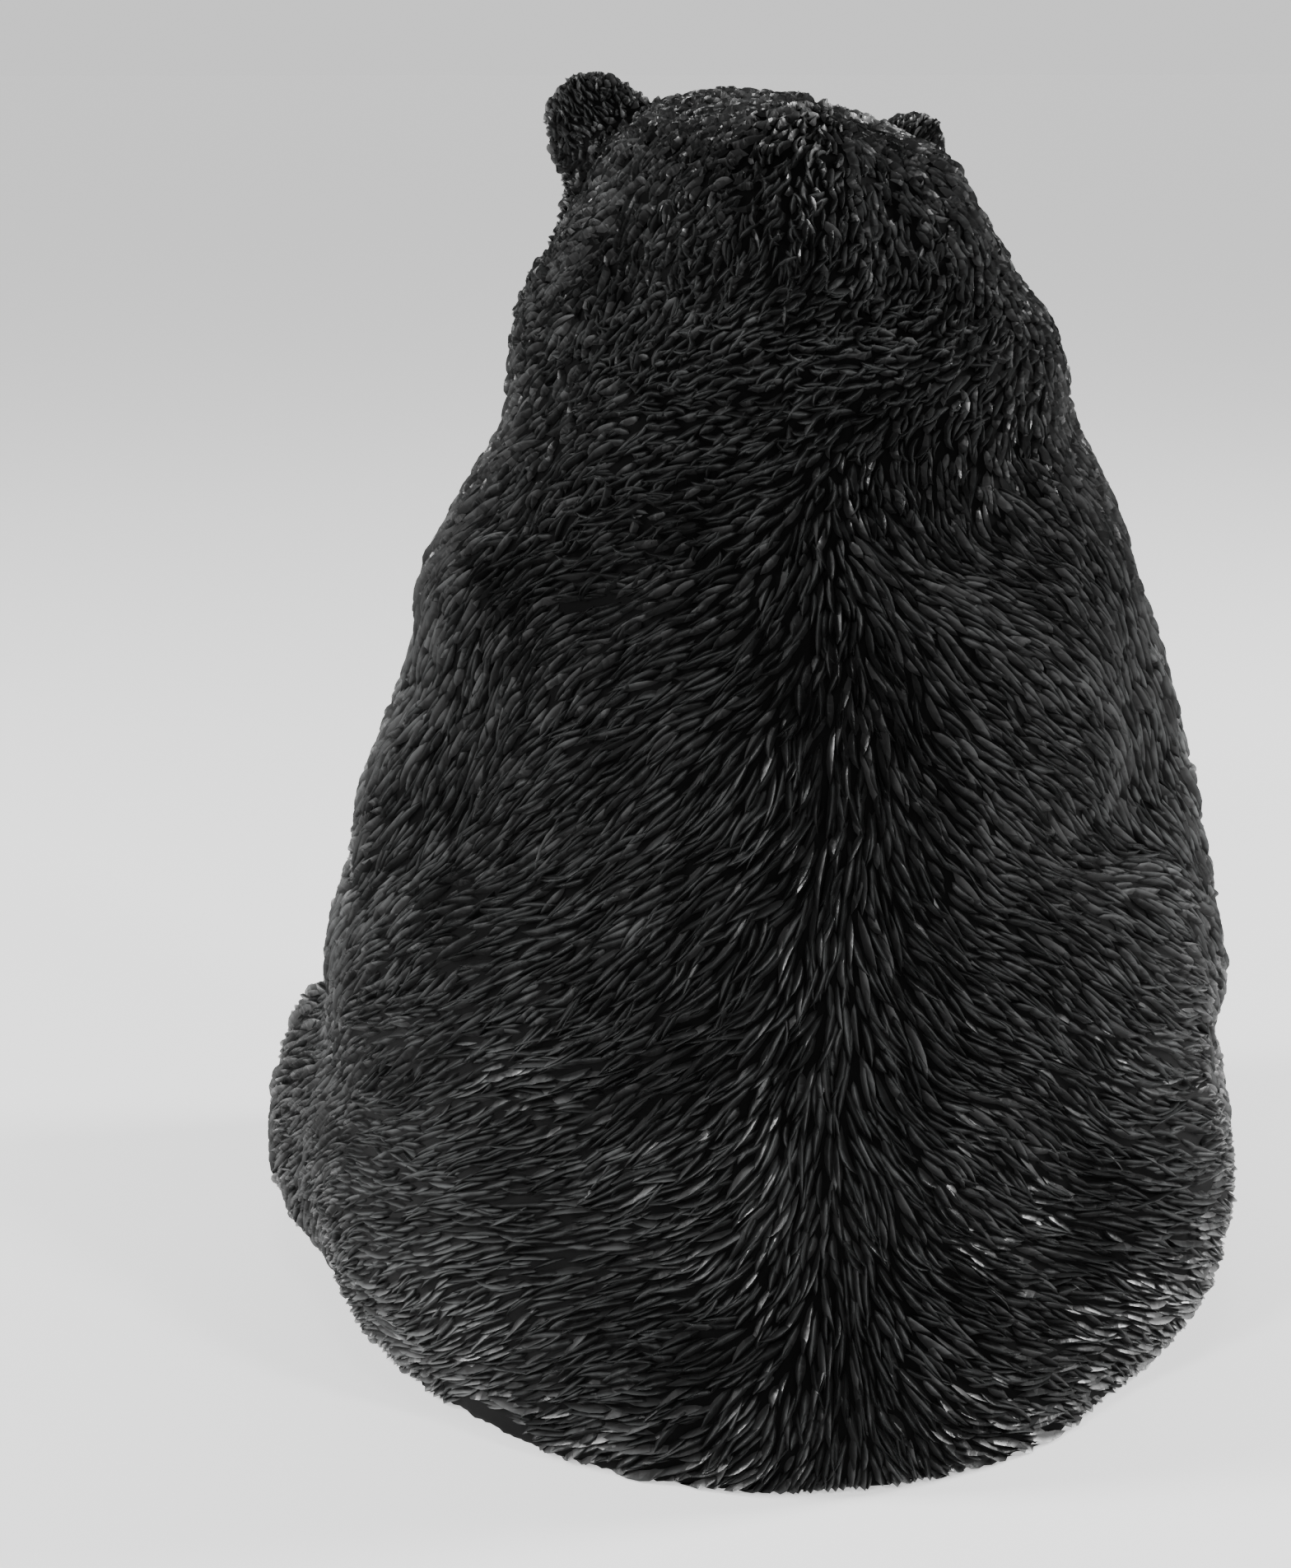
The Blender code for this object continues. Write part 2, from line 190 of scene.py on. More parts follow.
def satin_enamel():
    """Satin black spray enamel: painted shade black in the grooves, and a faint grey on the ridges that is
    partly wear and partly a painted highlight.
    """
    material, surface = new_material("satin black enamel")
    place = add_node(material, "ShaderNodeNewGeometry").outputs["Position"]
    ridge = add_node(material, "ShaderNodeAttribute", {"attribute_name": "ridge"}).outputs["Fac"]
    tone_and_painted_light = add_node(material, "ShaderNodeAttribute", {"attribute_name": "tone_and_painted_light"}).outputs["Fac"]
    # 0 low on a strand's sides, and 1 along the top of its ridge, where wear and a painted highlight grey
    # the paint
    ridge_wear_and_highlight = add_node(material, "ShaderNodeMapRange", Value=ridge, From_Min=0.35, From_Max=0.95).outputs[0]
    # Dust, rubbing and the painted highlight on the ridges come in patches of a few centimetres
    patches = add_node(
        material, "ShaderNodeTexNoise", Vector=place, Scale=26.0, Detail=3.0).outputs["Fac"]
    patchy_wear_and_highlight = add_node(
        material, "ShaderNodeMath", {"operation": "MULTIPLY"}, i0=ridge_wear_and_highlight, i1=patches).outputs[0]
    grey_wear_and_highlight = add_node(material, "ShaderNodeMapRange", Value=patchy_wear_and_highlight, From_Min=0.1, From_Max=0.6).outputs[0]
    # The grooves get painted shade, and the ridges a grey that is partly wear and partly a painted
    # highlight
    paint = add_node(
        material, "ShaderNodeMix", {"data_type": "RGBA"},
        i0=grey_wear_and_highlight, i6=linear(GROOVE_SHADE_BLACK), i7=linear(RIDGE_WEAR_AND_HIGHLIGHT_GREY)).outputs[2]
    # Each strand took a little more or less paint, dust makes it paler, and painted light and shade vary
    # it by place
    tone_and_light_scale = add_node(
        material, "ShaderNodeMapRange", {"clamp": False},
        Value=tone_and_painted_light, To_Min=0.55, To_Max=1.35).outputs[0]
    colour = add_node(
        material, "ShaderNodeVectorMath", {"operation": "SCALE"}, i0=paint, Scale=tone_and_light_scale).outputs[0]
    # Spray lands rougher in some places than others
    shine = add_node(material, "ShaderNodeMapRange", Value=patches, To_Min=0.12, To_Max=0.28).outputs[0]
    clean = add_node(
        material, "ShaderNodeMix", {"data_type": "FLOAT"},
        i0=ridge_wear_and_highlight, i2=GROOVE_ROUGHNESS, i3=shine).outputs[0]
    # Where dust lies thick, it takes the shine away
    dusty = add_node(
        material, "ShaderNodeMapRange", Value=tone_and_painted_light,
        From_Min=1.0, From_Max=2.5, To_Min=0.0, To_Max=0.35).outputs[0]
    rough = add_node(material, "ShaderNodeMath", {"operation": "ADD"}, i0=clean, i1=dusty).outputs[0]
    # Orange peel in the spray is about 1 mm across
    peel = add_node(
        material, "ShaderNodeTexNoise", Vector=place, Scale=900.0, Detail=2.0).outputs["Fac"]
    bump = add_node(material, "ShaderNodeBump", Strength=0.25, Distance=0.0003, Height=peel).outputs[0]
    enamel = add_node(
        material, "ShaderNodeBsdfPrincipled", Base_Color=colour, Roughness=rough, IOR=ENAMEL_IOR,
        Specular_IOR_Level=0.36, Normal=bump)
    material.node_tree.links.new(enamel.outputs[0], surface)
    return material


def groove_enamel():
    """Dull black enamel in the bottoms of the grooves, painted nearly black as shade, where it swallows
    the light.
    """
    material, surface = new_material("dull black enamel with painted groove shade")
    place = add_node(material, "ShaderNodeNewGeometry").outputs["Position"]
    mottle = add_node(
        material, "ShaderNodeTexNoise", Vector=place, Scale=60.0, Detail=2.0).outputs["Fac"]
    # Near black with a faint mottle: painted shade at the bottoms of the grooves
    black = add_node(
        material, "ShaderNodeMix", {"data_type": "RGBA"},
        i0=mottle, i6=linear("#010101"), i7=linear("#040404")).outputs[2]
    # Dust and a painted grey sheen fill the grooves of the low haunches and turn them dark grey
    dust_and_painted_light = add_node(material, "ShaderNodeAttribute", {"attribute_name": "dust_and_painted_light"}).outputs["Fac"]
    paint = add_node(
        material, "ShaderNodeMix", {"data_type": "RGBA"},
        i0=dust_and_painted_light, i6=black, i7=linear("#2a2a2a")).outputs[2]
    dull = add_node(
        material, "ShaderNodeBsdfPrincipled", Base_Color=paint, Roughness=0.75, IOR=ENAMEL_IOR,
        Specular_IOR_Level=0.05)
    material.node_tree.links.new(dull.outputs[0], surface)
    return material


ENAMEL = satin_enamel()
DULL = groove_enamel()
print("paints:", ENAMEL.name, "and", DULL.name)

# %% [markdown]
# ## The undercoat
#
# Under the strands lies the body of the casting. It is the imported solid's own surface, remade as an
# even skin of small faces and smoothed, so the facets go and the coarse locks stay. It replaces the
# solid in the picture. It is drawn in by a little more than a millimetre, which is how deep the carver
# cut between the strands. The flat foot keeps its edge, so it is neither smoothed nor drawn in, and the
# ears, the muzzle and the paws are smoothed less than the broad back, or they would melt away.

# %% Make the undercoat from the solid
CUT_DEPTH = 1.2 * MM
SKIN_GRAIN = 3.9 * MM
SMOOTHINGS = 30
SMALL_FORMS_SPARED = 0.8
# Below the first height everything is the flat foot, and above the second the coat has its full depth
RIM = 1.2 * MM
FOOT_TOP = 9 * MM


def apply_modifiers(piece):
    """Puts the evaluated mesh in place of the piece's own, and drops its modifiers."""
    graph = bpy.context.evaluated_depsgraph_get()
    mesh = bpy.data.meshes.new_from_object(piece.evaluated_get(graph))
    piece.modifiers.clear()
    piece.data = mesh


def points_of(mesh):
    """A mesh's vertices and their normals, as two arrays."""
    at = np.empty(len(mesh.vertices) * 3)
    normal = np.empty(len(mesh.vertices) * 3)
    mesh.vertices.foreach_get("co", at)
    mesh.vertex_normals.foreach_get("vector", normal)
    return at.reshape(-1, 3), normal.reshape(-1, 3)


def step(low, high, value):
    """0 below the low value, 1 above the high one, and a smooth rise between."""
    share = np.clip((value - low) / (high - low), 0, 1)
    return share * share * (3 - 2 * share)


def near(at, centre, reach):
    """1 at a place, falling off softly within the reach."""
    return np.exp(-(((at - np.array(centre)) / reach) ** 2).sum(axis=1))[:, None]


def in_head(at):
    """Places in hundredths, as the head saw them before it was turned and tilted."""
    back = held().inverted()
    return at @ np.array(back.to_3x3()).T + np.array(back.translation)


def in_figure(at):
    """Places in metres in the solid's frame, as hundredths about the figure's own axis."""
    return (at - np.array(AXIS_SHIFT)) / HUNDREDTH


def small_forms(at):
    """1 on the ears, muzzle and paws, and 0 on the broad body, at places given in hundredths."""
    face = in_head(at)
    small = near(face, (0, -26, 79), (10, 11, 9))[:, 0]
    for s in SIDES:
        small = np.maximum(small, near(face, sided(EAR, s) + Vector((0, 0, 1.5)), 6.5)[:, 0])
        small = np.maximum(small, near(at, sided(PAW, s) + Vector((-2 * s, -2, -1)), (10, 7, 8))[:, 0])
        small = np.maximum(small, near(at, sided(SOLE, s) + Vector((0, 0, 2)), (11, 8, 14))[:, 0])
    return small


# Where dust and a painted grey sheen lie thickest, in hundredths: the place, the reach each way, and how
# thick it is
HAUNCH_DUST_AND_SHEEN = (((26, 14, 14), (13, 16, 16), 0.68), ((-27, 10, 18), (11, 14, 14), 0.4))


def summed(at, spots):
    """The sum of a few soft spots at each place given in hundredths."""
    return sum(amount * near(at, centre, reach)[:, 0] for centre, reach, amount in spots)


# Small corrections of the broad form in hundredths, found by laying the render over the photograph:
# the place, the reach and the push
SWELLINGS = (
    ((13.3, -7, 95.5), 5.5, (0.9, 0, 0.4)),
    ((5.5, 1, 99), 6, (0, 0, -1.2)),
    ((-4, -1, 98), 3.5, (0, 0, 0.6)),
    ((-12.5, -15, 94.5), 4.6, (-2.0, 0, 0)),
    ((-9.5, -14.5, 96), 3, (0, 0, 0.5)),
    ((-15.2, -1, 90.6), 3.8, (1.7, 0, 0)),
    ((-9, -2, 96.8), 4, (0.8, 0, -1.7)),
    ((-15.5, 3.5, 89.5), 4.5, (0.8, 0, 0)),
    ((19.5, 2, 78), 5, (1.0, 0, 0)),
    ((-22, 3, 77.5), 6, (1.2, 0, 0)),
    ((-21.5, 2, 72.5), 4, (-0.5, 0, 0)),
    ((-27.5, 4.5, 62.5), 5, (0.9, 0, 0)),
    ((-32, 3, 48.5), 5, (0.5, 0, 0)),
    ((37.6, -16, 22), 4, (0.8, 0, 0.3)),
    ((-34.5, 4, 38), 4, (-0.5, 0, 0)),
    ((-35.2, 5, 29), 4, (-0.5, 0, 0)),
    ((41, -9, 5), 7, (1.4, 0, 0)),
    ((34, 8, 3.5), 4.5, (0.9, 0, 0)),
    ((-33, 5, 2.5), 6, (0.5, 0, 0)),
)


def swollen(at):
    """Places in hundredths after the small corrections."""
    return at + sum(near(at, centre, reach) * np.array(push) for centre, reach, push in SWELLINGS)


def undercoat():
    """The solid's form as an even skin, drawn in by the depth of the carving."""
    made = bpy.data.objects.new("undercoat", solid.data.copy())
    bpy.context.scene.collection.objects.link(made)
    even = made.modifiers.new("even", "REMESH")
    even.mode = "VOXEL"
    even.voxel_size = SKIN_GRAIN
    apply_modifiers(made)
    at, _ = points_of(made.data)
    soft_part = made.vertex_groups.new(name="above the foot")
    spared = SMALL_FORMS_SPARED * small_forms(in_figure(at))
    shares = step(2 * MM, FOOT_TOP, at[:, 2]) * (1 - spared)
    for index, share in enumerate(shares):
        soft_part.add([index], float(share), "REPLACE")
    soft = made.modifiers.new("soft", "SMOOTH")
    soft.factor = 0.5
    soft.iterations = SMOOTHINGS
    soft.vertex_group = soft_part.name
    apply_modifiers(made)
    at, normal = points_of(made.data)
    at = swollen(in_figure(at)) * HUNDREDTH + np.array(AXIS_SHIFT)
    at -= normal * (CUT_DEPTH * step(1 * MM, FOOT_TOP, at[:, 2]))[:, None]
    at[:, 2] = np.where(at[:, 2] < RIM, 0, at[:, 2])
    made.data.vertices.foreach_set("co", at.ravel())
    made.data.update()
    # Dust and a painted grey sheen on the low haunches, for the grooves' paint
    dust_and_painted_light = summed(in_figure(at), HAUNCH_DUST_AND_SHEEN).astype(np.float32)
    made.data.attributes.new("dust_and_painted_light", "FLOAT", "POINT").data.foreach_set("value", dust_and_painted_light)
    made.vertex_groups.clear()
    made.data.materials.clear()
    made.data.materials.append(DULL)
    made.data.polygons.foreach_set("use_smooth", np.ones(len(made.data.polygons), bool))
    return made


skin = undercoat()
print("undercoat", 2 * len(skin.data.polygons), "triangles")

# %% [markdown]
# ## Combing the coat
#
# Fur on a bear runs from the nose back over the crown, down the nape, outwards from the spine in a
# herringbone round the flanks, and along each limb to the paw. One function gives that direction
# anywhere on the skin. It blends a few simple flows, each strong near its own part of the body.

# %% The direction of the fur
WHORL = (-2.4, 2, 98.5)
# Where the coat leaves its broad flow: the place, the reach each way, the direction and its strength
COMBINGS = (
    ((-2, 17, 79), (13, 9, 4.5), (1, 0, -0.1), 4),
    ((-13, 12, 78), (5, 6, 4.5), (0.8, 0, -0.5), 3),
    ((-9, 15, 72), (5, 6, 4), (0.5, 0, -1), 2),
    ((9, 15, 73), (5, 6, 3.5), (1, 0, -0.15), 3),
    ((17, 11, 67), (6, 6, 3.5), (1, -0.2, -0.3), 3),
)


def body_flow(at):
    """Down the spine, outwards round the flanks, steeper again towards the belly, and down in front."""
    x, y, z = at.T
    about = np.arctan2(abs(x), y)
    most = np.radians(50 + 16 * (1 - step(12, 45, z)))
    edge = np.radians(42 + 25 * (1 - step(28, 50, z)))
    swept = most * np.sin(np.clip(3.2 * about, 0, math.pi / 2))
    swept *= 1 - 0.62 * step(0, math.radians(25), about - edge)
    swept *= 1 - step(math.radians(110), math.radians(165), about)
    outwards = np.sign(x) * np.cos(about) * np.sin(swept)
    forwards = -np.sin(about) * np.sin(swept)
    return np.stack([outwards, forwards, -np.cos(swept)], axis=1)


def head_flow(at):
    """Back from the nose over the face, and from a whorl on the crown down behind."""
    face = in_head(at)
    back = (face - np.array(NOSE)) @ np.array(held().inverted().to_3x3())
    whorl = at - np.array(WHORL)
    share = step(-11, -3, face[:, 1])[:, None]
    return (
        back / np.linalg.norm(back, axis=1)[:, None] * (1 - share)
        + whorl / np.linalg.norm(whorl, axis=1)[:, None] * share)


def comb(at, normal):
    """The way the fur lies at each place given in hundredths, from root to tip, along the skin."""
    share = step(74, 82, at[:, 2])[:, None]
    flow = body_flow(at) * (1 - share) + head_flow(at) * share
    for s in SIDES:
        runs = ((HIP, KNEE, 13, 1.2), (KNEE, HEEL, 12, 3), (ELBOW, WRIST, 9, 3), (WRIST, PAW, 7, 3))
        for start, end, reach, weight in runs:
            start, end = sided(start, s), sided(end, s)
            way = np.array((end - start).normalized()) + (0, 0, -0.35)
            for part in (0, 0.5, 1):
                flow += weight * near(at, start.lerp(end, part), reach) * way
        ear = np.array(held() @ sided(EAR, s))
        flow += 3 * near(at, ear + np.array((s, 0, 2)), 4) * (at - ear + np.array((3 * s, 0, 5))) / 6
    for centre, reach, way, weight in COMBINGS:
        flow += weight * near(at, centre, reach) * np.array(way)
    flow -= normal * (flow * normal).sum(axis=1)[:, None]
    return flow / (np.linalg.norm(flow, axis=1)[:, None] + 1e-9)


RIGHT_FLANK = np.array([(-20, 22, 45)])
FACING_BACK = np.array([(-0.6, 0.8, 0)])
print("on the right flank the fur runs", comb(RIGHT_FLANK, FACING_BACK).round(2)[0])

# %% [markdown]
# ## How long and how wide a strand is
#
# The strands are longest down the back, shorter on the shoulders and the crown, and very short on the
# face, ears and paws. The left haunch is cut finer than the rest. In front, where nobody looks closely,
# the carver took a wider gouge. Sizes are in millimetres, because the gouge's width doesn't depend on
# the bear's size.

# %% The size of the strands
# In millimetres
LENGTH_ON_BACK = 17.5
WIDTH_ON_BACK = 2.75
# How far round an eye and round the hollow of an ear the casting is bare, in hundredths
EYE_HOLE = 1.9
EAR_HOLLOW = 1.9


def strand_size(at):
    """The length and the width in millimetres of a strand rooted at each place given in hundredths."""
    face = in_head(at)
    high = step(50, 84, at[:, 2])
    front = step(-4, -14, at[:, 1]) * (1 - step(66, 80, at[:, 2]))
    length = LENGTH_ON_BACK - 8 * high + 5 * front
    width = WIDTH_ON_BACK - 0.25 * high + 0.5 * front
    # A place, and how much shorter and slimmer the strands are there: the left haunch and the face
    finer = [(near(at, (24, 6, 13), (13, 14, 14)), 0.4, 0.15)]
    finer.append((near(face, (0, -24, 80), (12, 12, 12)), 0.5, 0.36))
    for s in SIDES:
        finer.append((near(face, sided(EAR, s) + Vector((0, 0, 1)), 6.5), 0.55, 0.25))
        finer.append((near(at, sided(PAW, s), 9), 0.5, 0.25))
        finer.append((near(at, sided(SOLE, s) + Vector((0, 3, 4)), (9, 9, 12)), 0.45, 0.25))
    for place, shorter, slimmer in finer:
        length *= 1 - shorter * place[:, 0]
        width *= 1 - slimmer * place[:, 0]
    return length, width


def inside(at, centre, radii):
    """Which places lie inside an ellipsoid."""
    return (((at - np.array(centre)) / radii) ** 2).sum(axis=1) < 1


def bare(at):
    """Where the casting has no fur: the foot rim, the soles, the nose, the eyes and inside the ears."""
    face = in_head(at)
    hit = at[:, 2] < 1.2
    hit |= inside(face, NOSE, (3.7, 3, 2.8))
    # A plain strip at the foot of the left haunch, which the photograph shows
    hit |= inside(at, (24.5, 22.5, 1.6), (3.4, 5, 1.5))
    for s in SIDES:
        hit |= inside(face, sided(EYE, s), EYE_HOLE)
        hit |= inside(face, sided(EAR, s) + Vector((-0.3 * s, -2.4, -0.4)), EAR_HOLLOW)
        hit |= inside(at, sided(SOLE, s) + Vector((0.8 * s, -3.6, -3)), (5.4, 4, 6.4))
    return hit


length_there, width_there = strand_size(np.array([(0, 25, 45)]))
print("a strand on the back:", round(length_there[0], 1), "by", round(width_there[0], 2), "mm")

# %% [markdown]
# ## Rooting the strands
#
# A carver leaves no gap and cuts no strand twice. So roots are thrown at random on the skin, and one is
# kept only if it lies outside an ellipse round each root kept before it. The ellipse is long along the
# fur and narrow across it, so the strands end up side by side and staggered, like shingles.

# %% Choose the roots
THROWS = 260000
# The ellipse round a root, as shares of the strand's length and width
ALONG_GAP = 0.4
ACROSS_GAP = 0.7
random = np.random.default_rng(7)


class Ground:
    """The skin under the strands: its nearest vertex to a place, that vertex's normal and combing."""

    def __init__(self, piece):
        self.at, self.normal = points_of(piece.data)
        self.flow = comb(in_figure(self.at), self.normal)
        self.tree = tree_of(self.at)

    def under(self, places):
        """The index of the nearest vertex to each place."""
        return np.array([self.tree.find(p)[1] for p in places])


def throw(mesh, count):
    """Random places all over a mesh, and the normal there."""
    mesh.calc_loop_triangles()
    corners = np.empty(len(mesh.loop_triangles) * 3, np.int32)
    mesh.loop_triangles.foreach_get("vertices", corners)
    at, _ = points_of(mesh)
    a, b, c = at[corners.reshape(-1, 3)].transpose(1, 0, 2)
    normal = np.cross(b - a, c - a)
    area = np.linalg.norm(normal, axis=1)
    pick = random.choice(len(area), count, p=area / area.sum())
    u, v = random.random((2, count, 1))
    u, v = np.where(u + v > 1, 1 - u, u), np.where(u + v > 1, 1 - v, v)
    place = a[pick] + (b[pick] - a[pick]) * u + (c[pick] - a[pick]) * v
    return place, normal[pick] / area[pick][:, None]


def tree_of(places):
    """A search tree of places."""
    tree = kdtree.KDTree(len(places))
    for index, place in enumerate(places):
        tree.insert(place, index)
    tree.balance()
    return tree


def rooted(piece):
    """Roots in metres, side by side and staggered along the combing, with their strand's size."""
    at, normal = throw(piece.data, THROWS)
    figure = in_figure(at)
    wanted = ~bare(figure)
    at, normal, figure = at[wanted], normal[wanted], figure[wanted]
    length, width = strand_size(figure)
    ahead = comb(figure, normal)
    across = np.cross(normal, ahead)
    along_gap = ALONG_GAP * length * MM
    across_gap = ACROSS_GAP * width * MM
    tree = tree_of(at)
    free = np.ones(len(at), bool)
    kept = []
    for index in range(len(at)):
        if not free[index]:
            continue
        kept.append(index)
        close = np.array([found[1] for found in tree.find_range(at[index], along_gap[index])])
        away = at[close] - at[index]
        along = away @ ahead[index] / along_gap[index]
        sideways = away @ across[index] / across_gap[index]
        free[close[along ** 2 + sideways ** 2 < 1]] = False
    return at[kept], length[kept] * MM, width[kept] * MM


ground = Ground(skin)
roots, lengths, widths = rooted(skin)
print(len(roots), "roots")

# %% [markdown]
# ## Growing the strands
#
# Each carved strand is a leaf: a buried root, a body that rises along its middle, and a free point
# that lies over the next strand's root. It follows the skin and the combed direction in short steps.
# Two slow waves run through the directions. The longer one lets the coat wander, and the shorter one
# makes neighbours lean together into tufts. Two strokes of the knife leave one sharp ridge along each
# strand, nearer to one side than to the other. That ridge is what catches the light.

# %% Grow the strands over the skin
STATIONS = 6
# How far a strand leaves the combed direction, in degrees: with the whole coat, with its tuft and alone
WANDER = 9
TUFT_LEAN = 11
STRAY = 5.5
# How far it bends from one station to the next, in degrees
CURL = 5
# The lengths of the two slow waves, in metres
WANDER_LENGTH = 0.055
TUFT_LENGTH = 0.017


def waves(at, length, seed):
    """A smooth random value, about -1 to 1, that changes over the given length.

    It is the sum of seven sine waves that cross in random directions, brought back to about 1.
    """
    source = np.random.default_rng(seed)
    value = np.zeros(len(at))
    for _ in range(7):
        way = source.normal(size=3)
        value += np.sin(at @ (way / np.linalg.norm(way)) * 2 * math.pi / length + source.random() * 6.3)
    return value / 2.6


def unrest(at):
    """How untidy the coat is at each place given in hundredths: most on the head and the left shoulder."""
    return np.maximum(1.2 * near(at, (13, 13, 70), (9, 8, 6))[:, 0], 1.1 * step(66, 80, at[:, 2]))


def grow(at, length):
    """The middle line of every strand, with the skin's normal and the strand's side at each station."""
    count = len(at)
    wild = 1 + 2.2 * unrest(in_figure(at))
    lean = np.radians(WANDER) * waves(at, WANDER_LENGTH, 3)
    lean += np.radians(TUFT_LEAN) * waves(at, TUFT_LENGTH, 4)
    lean += np.radians(STRAY) * wild * random.normal(size=count)
    curl = np.radians(CURL) * wild * random.normal(size=count)
    place = at.copy()
    line, up, side = [], [], []
    for station in range(STATIONS):
        under = ground.under(place)
        normal = ground.normal[under]
        place = place - normal * ((place - ground.at[under]) * normal).sum(axis=1)[:, None]
        ahead = ground.flow[under]
        across = np.cross(normal, ahead)
        angle = (lean + curl * (station - 2))[:, None]
        ahead = ahead * np.cos(angle) + across * np.sin(angle)
        line.append(place)
        up.append(normal)
        side.append(np.cross(normal, ahead))
        place = place + ahead * (length / (STATIONS - 1))[:, None]
    return np.array(line), np.array(up), np.array(side)


# How high the points of a strand's cross-section stand: an edge, the ridge and the other edge
HEIGHTS = np.array([0.0, 1.0, 0.0])
ACROSS = len(HEIGHTS)


def leaf_faces(count):
    """The faces of so many leaves: a root point, rings from the left edge to the right, and a tip."""
    rings, round_it = STATIONS - 2, ACROSS
    per = 2 + round_it * rings
    quads, tips = [], []
    for edge in range(round_it):
        after = (edge + 1) % round_it
        tips.append((0, 1 + after, 1 + edge))
        tips.append((1 + round_it * (rings - 1) + edge, 1 + round_it * (rings - 1) + after, per - 1))
        for ring in range(rings - 1):
            low, high = 1 + round_it * ring, 1 + round_it * (ring + 1)
            quads.append((low + edge, low + after, high + after, high + edge))
    starts = (np.arange(count) * per)[:, None, None]
    return (np.array(quads) + starts).reshape(-1), (np.array(tips) + starts).reshape(-1), per


def profiles(count):
    """Where the points of each strand's cross-section lie across it. The ridge is off the middle."""
    ridge = random.uniform(-0.45, 0.45, count)
    return np.stack([-np.ones(count), ridge, np.ones(count)], axis=1)


# Dust lies in spots on the flanks too: the place, the reach, how thick it is and the seed of its spots
SPOTTY_FLANKS = (((-27, 6, 46), (8, 12, 16), 1.0, 9), ((29, 8, 44), (9, 12, 14), 0.4, 10))
SPOT_LENGTH = 0.02
# Painted light and shade: the nape and the low spine are painted a little paler, and the rest of the
# spine, the crown and the shoulders are painted darker, so they are blackest
PAINTED_LIGHT_AND_SHADE = (
    ((0, 16, 80), (16, 12, 6), 0.2),
    ((0, 26, 20), (14, 12, 10), 0.2),
    ((-2, 24, 56), (9, 14, 18), -0.3),
    ((0, 0, 97), (12, 12, 7), -0.35),
    ((-17, 10, 68), (9, 10, 8), -0.3),
    ((17, 10, 65), (8, 10, 8), -0.2),
)
# The deepest painted shade
DEEPEST_PAINTED_SHADE = -0.35
# Dust and painted sheen on the haunches lie thicker on the strands than in the grooves
ON_STRANDS = 1.6
# How much paler a full measure of dust and painted light makes a strand
PALER = 1.6


def dust_and_light_at(at):
    """How dusty the strands are at each place in metres, with painted light and shade added. It is below 0
    where shade is painted.
    """
    figure = in_figure(at)
    dust_and_painted_light = ON_STRANDS * summed(figure, HAUNCH_DUST_AND_SHEEN)
    for centre, reach, thick, seed in SPOTTY_FLANKS:
        dust_and_painted_light += thick * near(figure, centre, reach)[:, 0] * (1 + waves(at, SPOT_LENGTH, seed))
    return np.maximum(dust_and_painted_light + summed(figure, PAINTED_LIGHT_AND_SHADE), DEEPEST_PAINTED_SHADE)


def strands(name, at, length, width):
    """One piece of fur: every strand rooted at these places, as closed ridged leaves."""
    count = len(at)
    length = length * np.clip(random.normal(1.05, 0.28, count), 0.5, 1.7)
    half = width * random.uniform(0.55, 0.85, count)
    rise = width * random.uniform(0.7, 1.2, count)
    place = profiles(count)
    line, up, side = grow(at, length)
    # Whole tufts stand a little higher than their neighbours
    tuft = (0.45 * waves(at, 0.014, 6) + 0.3 * random.normal(size=count)) * MM
    line = line + up * tuft[:, None]
    share = np.linspace(0, 1, STATIONS)[1:-1, None, None]
    leaf = np.sin(math.pi * share ** 0.85) ** 0.75
    crown = 0.15 + 0.85 * np.sin(0.75 * math.pi * share ** 0.9)
    edge = 0.3 * share ** 2 * rise[:, None] - 0.4 * MM - np.maximum(tuft, 0)[:, None]
    lift = edge + (crown * rise[:, None] - edge) * HEIGHTS
    reach = leaf * half[:, None] * place
    rings = line[1:-1, :, None] + up[1:-1, :, None] * lift[..., None]
    rings = rings + side[1:-1, :, None] * reach[..., None]
    quads, tips, per = leaf_faces(count)
    body = np.empty((count, per, 3))
    body[:, 0] = line[0] - up[0] * 0.5 * MM
    body[:, 1:-1] = rings.transpose(1, 0, 2, 3).reshape(count, -1, 3)
    body[:, -1] = line[-1] + up[-1] * (0.55 * rise)[:, None]
    body[..., 2] = np.maximum(body[..., 2], 0.3 * MM)
    mesh = bpy.data.meshes.new(name)
    mesh.vertices.add(count * per)
    mesh.vertices.foreach_set("co", body.ravel())
    mesh.loops.add(len(quads) + len(tips))
    mesh.loops.foreach_set("vertex_index", np.concatenate([quads, tips]).astype(np.int32))
    starts = np.concatenate([np.arange(0, len(quads), 4), len(quads) + np.arange(0, len(tips), 3)])
    mesh.polygons.add(len(starts))
    mesh.polygons.foreach_set("loop_start", starts.astype(np.int32))
    mesh.polygons.foreach_set("use_smooth", np.zeros(len(starts), bool))
    mesh.update(calc_edges=True)
    # How much of a ridge each point is, which the paint turns into wear and painted highlight grey
    crest = np.zeros((count, per))
    crest[:, 1:-1] = np.tile(HEIGHTS ** 2, STATIONS - 2)
    crest[:, -1] = 0.4
    crest *= random.uniform(0.65, 1.1, crest.shape)
    # Random tone per strand, with dust and painted light and shade added by place
    tone_and_painted_light = np.repeat(random.random(count) + PALER * dust_and_light_at(at), per)
    for key, values in (("ridge", crest.ravel()), ("tone_and_painted_light", tone_and_painted_light)):
        mesh.attributes.new(key, "FLOAT", "POINT").data.foreach_set("value", values.astype(np.float32))
    mesh.materials.append(ENAMEL)
    piece = bpy.data.objects.new(name, mesh)
    bpy.context.scene.collection.objects.link(piece)
    print(name, count, "strands", len(quads) // 2 + len(tips) // 3, "triangles")
    return piece


